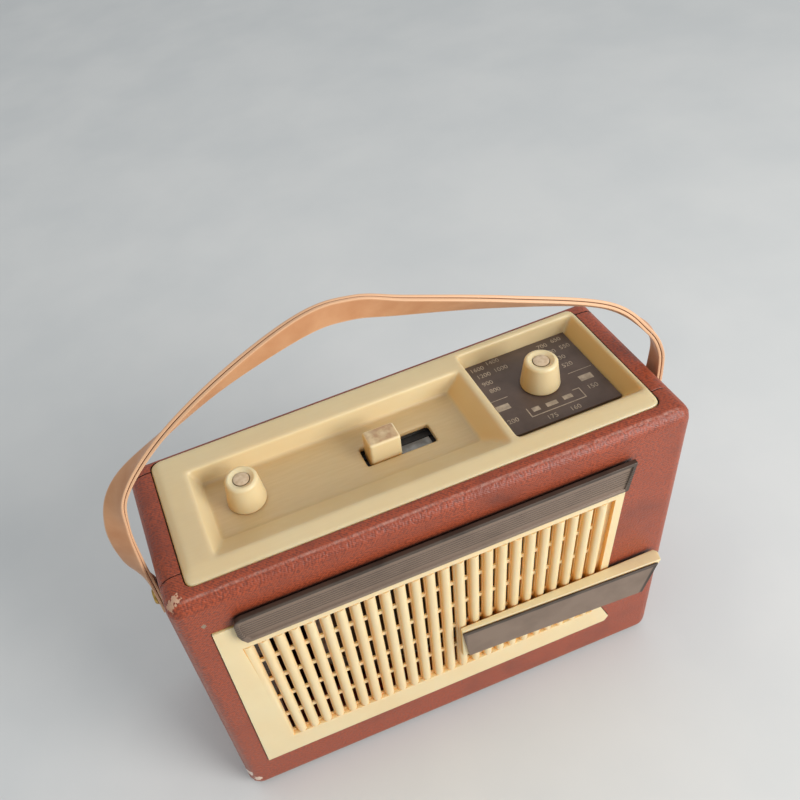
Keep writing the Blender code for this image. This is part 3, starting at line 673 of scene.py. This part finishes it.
class RADIO_OT_knobs(bpy.types.Operator):
    """Turns the two tapered knobs, each with a dished top round a beige cap"""

    bl_idname = "radio.knobs"
    bl_label = "Knobs"

    CAP_GAP = 0.3 * MM
    CAP_EASE = 0.35 * MM
    TAPER = 1.6 * MM
    RIM = 1.9 * MM
    RIM_STEPS = 8
    RIM_SWEEP = 87.0
    BORE = 3.4 * MM
    BORE_DEEP = 9.0 * MM
    SHARP = 40.0

    def knob(self, base, well, low_z, high_z, cap_z):
        """Profile of a knob, from its cap's well over the rim and down to its bore."""
        top = base - self.TAPER
        rim = self.RIM
        profile = [(well, cap_z), (well, high_z - 1.0 * MM), (well + 0.3 * MM, high_z - 0.8 * MM)]
        profile += [(top - rim * 1.15, high_z - 0.2 * MM), (top - rim, high_z)]
        for k in range(self.RIM_STEPS + 1):
            angle = math.radians(90.0 - self.RIM_SWEEP * k / self.RIM_STEPS)
            out = top - rim + rim * math.cos(angle)
            profile.append((out, high_z - rim + rim * math.sin(angle)))
        profile += [(base, low_z + 1.0 * MM), (base - 0.12 * MM, low_z + 0.4 * MM)]
        profile += [(base - 0.6 * MM, low_z), (self.BORE, low_z)]
        return profile + [(self.BORE, low_z + self.BORE_DEEP)]

    def cap(self, disc, low_z, high_z):
        """Profile of a slightly crowned cap."""
        crown = [(0.0, high_z + 0.1 * MM), (disc * 0.5, high_z + 0.05 * MM), (disc * 0.85, high_z)]
        return crown + [(disc, high_z - 0.25 * MM), (disc, low_z), (0.0, low_z)]

    def execute(self, context):
        steps = context.scene.radio_sizes.turns
        for body in ("volume", "tuning"):
            node, cap_node = body + "_knob", body + "_cap"
            low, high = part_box(node)
            cap_low, cap_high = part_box(cap_node)
            centre = (low + high) / 2
            well = (cap_high.x - cap_low.x) / 2 + self.CAP_GAP
            profile = self.knob((high.x - low.x) / 2, well, low.z, high.z, cap_low.z)
            crown = self.cap(well - self.CAP_EASE, cap_low.z, cap_high.z)
            for part, shape, material in (
                (node, profile, "cream polystyrene"),
                (cap_node, crown, "beige cap moulding"),
            ):
                bm = spun(shape, centre, steps)
                piece(part + "_turned", bm, material, body, [part], self.SHARP)
        return {"FINISHED"}


class RADIO_OT_slider(bpy.types.Operator):
    """Rounds the band slider's edges and finishes its lever"""

    bl_idname = "radio.slider"
    bl_label = "Band Slider"

    ROUND = 1.5 * MM

    def execute(self, context):
        low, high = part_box("band_slider")
        bm = bmesh.new()
        block(bm, (low + high) / 2, high - low)
        level = high.z - 1 * MM

        def upper(edge):
            return max(vert.co.z for vert in edge.verts) > level

        soften(bm, self.ROUND, segments=6, angle=60.0, keep=upper)
        material = "cream polystyrene, thumbed"
        made = piece("slider_moulding", bm, material, "band", ["band_slider"])
        weighted(made)
        dress("tinned steel sheet", "switch_lever")
        return {"FINISHED"}


class RADIO_OT_grille(bpy.types.Operator):
    """Moulds the grille: its slotted plate and half-round ribs that fan together downwards"""

    bl_idname = "radio.grille"
    bl_label = "Grille"

    RIBS_DEEP = 2.5 * MM
    SWELL = 0.45 * MM

    def execute(self, context):
        bm = joined("grille")
        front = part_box("grille")[0].y + self.RIBS_DEEP
        # The ribs swell a little over their slots.
        for vert in bm.verts:
            if vert.co.y < front:
                vert.co.x += self.SWELL * vert.normal.x
        material = "cream polystyrene"
        made = piece("grille_moulding", bm, material, "cabinet", ["grille"])
        weighted(made)
        return {"FINISHED"}


class RADIO_OT_bars(bpy.types.Operator):
    """Finishes the bare bar across the grille and the bare badge with its wedge rail"""

    bl_idname = "radio.bars"
    bl_label = "Bars"

    BADGE_FORWARD = 0.16 * MM
    SHARP = 30.0

    def execute(self, context):
        radius = context.scene.radio_sizes.bar_round
        bar = soften(joined("name_bar"), radius, segments=2, angle=self.SHARP)
        plate = joined("badge_plate")
        low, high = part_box("badge_plate")
        for vert in plate.verts:
            if vert.co.x > (low.x + high.x) / 2:
                vert.co.x += BADGE_LONGER
                vert.co.y -= self.BADGE_FORWARD
        soften(plate, radius * 0.8, segments=2, angle=self.SHARP)
        rail = soften(joined("badge_rail"), radius * 2, segments=3, angle=self.SHARP)
        for name, bm, material, slot, node in (
            ("name_bar_pressed", bar, "bronzed bar, ribbed", "dark_bar", "name_bar"),
            ("badge_plate_pressed", plate, "bronzed plate", "dark_bar", "badge_plate"),
            ("badge_rail_moulding", rail, "cream polystyrene", "cream_plastic", "badge_rail"),
        ):
            weighted(piece(name, bm, material, "cabinet", [node]))
        return {"FINISHED"}


class RADIO_OT_dial(bpy.types.Operator):
    """Paints the dial plate and prints plain numbers, rules and boxes on it"""

    bl_idname = "radio.dial"
    bl_label = "Dial"

    DIGIT_TALL = 2.9
    FONT_SIZE = 1.35
    INK_LIFT = 0.04 * MM
    INK_THICK = 0.06
    # Text and the place of its lower left corner in millimetres
    NUMBERS = (
        ("1600", 54.5, 32.0),
        ("1400", 64.0, 33.5),
        ("1200", 55.5, 26.5),
        ("1000", 65.5, 27.0),
        ("900", 55.5, 20.5),
        ("800", 56.5, 14.5),
        ("700", 93.0, 31.5),
        ("650", 101.5, 32.5),
        ("600", 94.5, 25.5),
        ("550", 103.0, 26.0),
        ("530", 96.5, 19.5),
        ("520", 97.0, 13.5),
        ("200", 54.0, -8.5),
        ("150", 99.5, -5.5),
        ("175", 72.0, -14.4),
        ("160", 84.5, -14.4),
    )
    # Left, right, front and back of each rule or box in millimetres
    RULES = (
        (51.5, 62.5, 8.6, 8.9),
        (96.5, 109.5, 8.4, 8.7),
        (66.0, 66.5, -9.0, -3.0),
        (66.0, 96.0, -9.4, -8.9),
        (95.5, 96.0, -9.0, -2.5),
        (92.0, 96.0, -2.6, -2.2),
        (53.5, 60.5, 1.0, 4.8),
        (99.5, 106.5, 0.8, 4.6),
        (68.5, 72.5, -6.6, -3.8),
        (76.0, 82.0, -6.8, -4.2),
        (85.5, 90.5, -6.4, -3.8),
    )

    def execute(self, context):
        dress("dial paint", "dial_plate")
        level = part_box("dial_plate")[1].z + self.INK_LIFT
        bm = bmesh.new()
        for text, x, y in self.NUMBERS:
            words = bpy.data.curves.new("dial_number", "FONT")
            words.body = text
            words.size = self.DIGIT_TALL * MM * self.FONT_SIZE
            words.extrude = self.INK_THICK / 2 * MM
            carrier = bpy.data.objects.new("dial_number", words)
            context.scene.collection.objects.link(carrier)
            context.view_layer.update()
            drawn = carrier.evaluated_get(context.evaluated_depsgraph_get())
            mesh = bpy.data.meshes.new_from_object(drawn)
            mesh.transform(Matrix.Translation((x * MM, y * MM, level)))
            bm.from_mesh(mesh)
            bpy.data.objects.remove(carrier)
            bpy.data.curves.remove(words)
            bpy.data.meshes.remove(mesh)
        for x0, x1, y0, y1 in self.RULES:
            spot = Vector(((x0 + x1) / 2, (y0 + y1) / 2, 0.0)) * MM + UP * level
            block(bm, spot, Vector((x1 - x0, y1 - y0, self.INK_THICK)) * MM)
        piece("dial_print", bm, "dial ink", "cabinet")
        return {"FINISHED"}


class RADIO_OT_strap(bpy.types.Operator):
    """Lays up the carrying strap from two plies of leather, and finishes its tabs and rivets"""

    bl_idname = "radio.strap"
    bl_label = "Carrying Strap"

    # Stations along the loop: share of the half span, share of the rise, and twist in degrees
    STATIONS = (
        (-1.0, -0.061, 0),
        (-1.0, 0.03, 0),
        (-1.008, 0.1, -12),
        (-1.03, 0.24, -46),
        (-1.025, 0.44, -58),
        (-0.965, 0.605, -15),
        (-0.8, 0.75, 33),
        (-0.56, 0.895, 58),
        (-0.285, 1.0, 84),
        (-0.125, 1.0, 84),
        (0.035, 0.94, 68),
        (0.365, 0.81, 47),
        (0.74, 0.635, 30),
        (0.92, 0.465, 0),
        (0.997, 0.34, -14),
        (1.01, 0.22, -10),
        (1.0, 0.03, 0),
        (1.0, -0.061, 0),
    )
    STEPS = 12
    LEG = 133.5 * MM
    RISE = 130.6 * MM
    PIVOT = 160.0 * MM
    SIDE = -8.0 * MM
    WIDTH = 11.0 * MM
    THICK = 3.0 * MM
    EYE = 2.6 * MM
    EDGE_ROUND = 0.3 * MM
    TAB_ROUND = 0.35 * MM
    RIVET_ROUND = 0.4 * MM
    SHARP = 50.0

    def route(self):
        """The strap's middle line and its twist, smooth through the stations."""
        fixed = []
        for x, z, turn in self.STATIONS:
            station = (x * self.LEG, z * self.RISE + self.PIVOT, math.radians(turn))
            fixed.append(Vector(station))
        ends = [fixed[0] * 2 - fixed[1]] + fixed + [fixed[-1] * 2 - fixed[-2]]
        line = []
        for a, b, c, d in zip(ends, ends[1:], ends[2:], ends[3:]):
            for k in range(self.STEPS):
                t = k / self.STEPS
                square = (a * 2 - b * 5 + c * 4 - d) * t**2
                bent = b * 2 + (c - a) * t + square + (b * 3 - a - c * 3 + d) * t**3
                line.append(bent / 2)
        return line + [fixed[-1]]

    def ply(self, label, line, thick, lift):
        """One ply of the strap, lifted off the middle line, with eyes for the rivets."""
        last = len(line) - 1
        bm = bmesh.new()
        across = bm.verts.layers.float.new("across")
        grid = bmesh.ops.create_grid(bm, x_segments=last, y_segments=8, size=1.0)
        for vert in grid["verts"]:
            k = round((vert.co.x + 1.0) / 2.0 * last)
            along = line[min(k + 1, last)] - line[max(k - 1, 0)]
            out = Vector((-along.y, 0.0, along.x)).normalized()
            lean = line[k].z
            face = out * math.cos(lean) + Vector((0.0, math.sin(lean), 0.0))
            edge = Vector((0.0, math.cos(lean), 0.0)) - out * math.sin(lean)
            vert[across] = vert.co.y
            spot = Vector((line[k].x, self.SIDE, line[k].y))
            vert.co = spot + edge * (vert.co.y * self.WIDTH / 2) + face * lift
        eyes = []
        for face in bm.faces:
            spot = face.calc_center_median()
            if math.hypot(spot.y - self.SIDE, spot.z - self.PIVOT) < self.EYE:
                eyes.append(face)
        bmesh.ops.delete(bm, geom=eyes, context="FACES")
        bmesh.ops.recalc_face_normals(bm, faces=bm.faces)
        name = "strap_" + label + "_ply"
        made = piece(name, bm, "tanned strap leather", "handle", ["strap"])
        wall = made.modifiers.new("thickness", "SOLIDIFY")
        wall.thickness = thick
        wall.offset = 0.0
        turn = made.modifiers.new("rounded edge", "BEVEL")
        turn.width = self.EDGE_ROUND
        turn.segments = 2
        turn.limit_method = "ANGLE"
        turn.angle_limit = math.radians(self.SHARP)

    def execute(self, context):
        gap = context.scene.radio_sizes.ply_gap
        thick = (self.THICK - gap) / 2
        line = self.route()
        for label, side in (("outer", 1.0), ("inner", -1.0)):
            self.ply(label, line, thick, side * (gap + thick) / 2)
        for side in ("left", "right"):
            tab = "strap_tab_" + side
            bm = soften(joined(tab), self.TAB_ROUND, segments=2, angle=self.SHARP)
            made = piece(
                tab + "_cut", bm, "brown tab leather", "cabinet", [tab], self.SHARP
            )
            weighted(made)
            rivet = "strap_rivet_" + side
            bm = soften(joined(rivet), self.RIVET_ROUND, segments=3, angle=30.0)
            piece(rivet + "_domed", bm, "riveted brass", "cabinet", [rivet])
        return {"FINISHED"}


class RADIO_OT_works(bpy.types.Operator):
    """Finishes the works inside the case"""

    bl_idname = "radio.works"
    bl_label = "Works"

    def execute(self, context):
        cans = ["if_can_1", "if_can_2", "if_can_3"]
        drums = ["electrolytic_1", "electrolytic_2", "electrolytic_3"]
        iron = ["output_transformer", "driver_transformer"]
        clips = ["rod_clip_left", "rod_clip_right"]
        frames = ["chassis", "tuning_stator", "speaker_basket", "battery_tray"]
        dress("tinned steel sheet", *frames, *cans, *iron)
        dress("black phenolic", "switch_body", "volume_pot", *clips, *drums)
        dress("riveted brass", "volume_shaft", "tuning_rotor")
        dress("phenolic laminate", "circuit_board")
        dress("cone paper", "speaker_cone")
        dress("sintered ferrite", "speaker_magnet", "ferrite_rod")
        dress("enamelled copper", "aerial_coil")
        dress("printed card", "battery")
        return {"FINISHED"}


class RADIO_OT_stage(bpy.types.Operator):
    """Sets the pale floor, the soft lamps and the camera"""

    bl_idname = "radio.stage"
    bl_label = "Stage"

    FLOOR = ("#DAD9D5", "#D3D3D0", 120.0, 0.6)
    FLOOR_HALF = 6.0
    # Name, place, width and power of each lamp
    LAMPS = (
        ("front window", (0.8, -0.95, 0.68), 0.9, 16.5),
        ("ceiling", (-0.2, 0.3, 1.7), 1.6, 3.0),
    )
    AIM = Vector((0.0, 0.0, 0.1))
    SKY = (0.9, 0.95, 1.0, 1.0)
    SKY_STRENGTH = 0.58
    # The camera is fitted to the photo.
    SENSOR = 36.0
    LENS = 38.61
    SHIFT_X = 0.1439
    EYE = (-0.09143, -0.26322, 0.50648)
    EYE_RIGHT = Vector((0.9325, -0.3175, -0.17214))
    EYE_UP = Vector((0.34325, 0.63091, 0.6958))

    def execute(self, context):
        scene = context.scene
        bm = bmesh.new()
        bmesh.ops.create_grid(bm, x_segments=1, y_segments=1, size=self.FLOOR_HALF)
        mesh = bpy.data.meshes.new("floor")
        bm.to_mesh(mesh)
        bm.free()
        light, dark, size, rough = self.FLOOR
        mesh.materials.append(mottled("pale floor", linear(light), linear(dark), size, rough))
        floor = bpy.data.objects.new("floor", mesh)
        scene.collection.objects.link(floor)
        for name, spot, width, power in self.LAMPS:
            lamp = bpy.data.lights.new(name, "AREA")
            lamp.shape = "DISK"
            lamp.size = width
            lamp.energy = power
            made = bpy.data.objects.new(name, lamp)
            made.location = spot
            made.rotation_euler = (self.AIM - Vector(spot)).to_track_quat("-Z", "Y").to_euler()
            scene.collection.objects.link(made)
        world = bpy.data.worlds.new("soft room")
        world.use_nodes = True
        sky = world.node_tree.nodes["Background"]
        sky.inputs["Color"].default_value = self.SKY
        sky.inputs["Strength"].default_value = self.SKY_STRENGTH
        scene.world = world
        view = bpy.data.cameras.new("view")
        view.sensor_width = self.SENSOR
        view.lens = self.LENS
        view.shift_x = self.SHIFT_X
        view.clip_start = 0.01
        camera = bpy.data.objects.new("view", view)
        back = self.EYE_RIGHT.cross(self.EYE_UP)
        turned = Matrix((self.EYE_RIGHT, self.EYE_UP, back)).transposed().to_4x4()
        camera.matrix_world = Matrix.Translation(self.EYE) @ turned
        scene.collection.objects.link(camera)
        scene.camera = camera
        scene.view_settings.view_transform = "Standard"
        return {"FINISHED"}


class RADIO_PT_panel(bpy.types.Panel):
    """Lists the radio's pieces, sizes and colours"""

    bl_idname = "RADIO_PT_panel"
    bl_label = "Portable Radio"
    bl_space_type = "VIEW_3D"
    bl_region_type = "UI"
    bl_category = "Radio"

    def draw(self, context):
        for operator in OPERATORS:
            self.layout.operator(operator.bl_idname)
        for group in (context.scene.radio_sizes, context.scene.radio_colours):
            column = self.layout.column()
            for name in group.__annotations__:
                column.prop(group, name)


OPERATORS = (
    RADIO_OT_case,
    RADIO_OT_deck,
    RADIO_OT_knobs,
    RADIO_OT_slider,
    RADIO_OT_grille,
    RADIO_OT_bars,
    RADIO_OT_dial,
    RADIO_OT_strap,
    RADIO_OT_works,
    RADIO_OT_stage,
)
CLASSES = (RadioColours, RadioSizes, *OPERATORS, RADIO_PT_panel)


def register():
    for made in CLASSES:
        bpy.utils.register_class(made)
    bpy.types.Scene.radio_colours = PointerProperty(type=RadioColours)
    bpy.types.Scene.radio_sizes = PointerProperty(type=RadioSizes)


def unregister():
    del bpy.types.Scene.radio_sizes
    del bpy.types.Scene.radio_colours
    for made in reversed(CLASSES):
        bpy.utils.unregister_class(made)


def main():
    register()
    for operator in OPERATORS:
        group, name = operator.bl_idname.split(".")
        getattr(getattr(bpy.ops, group), name)()


if __name__ == "__main__":
    main()
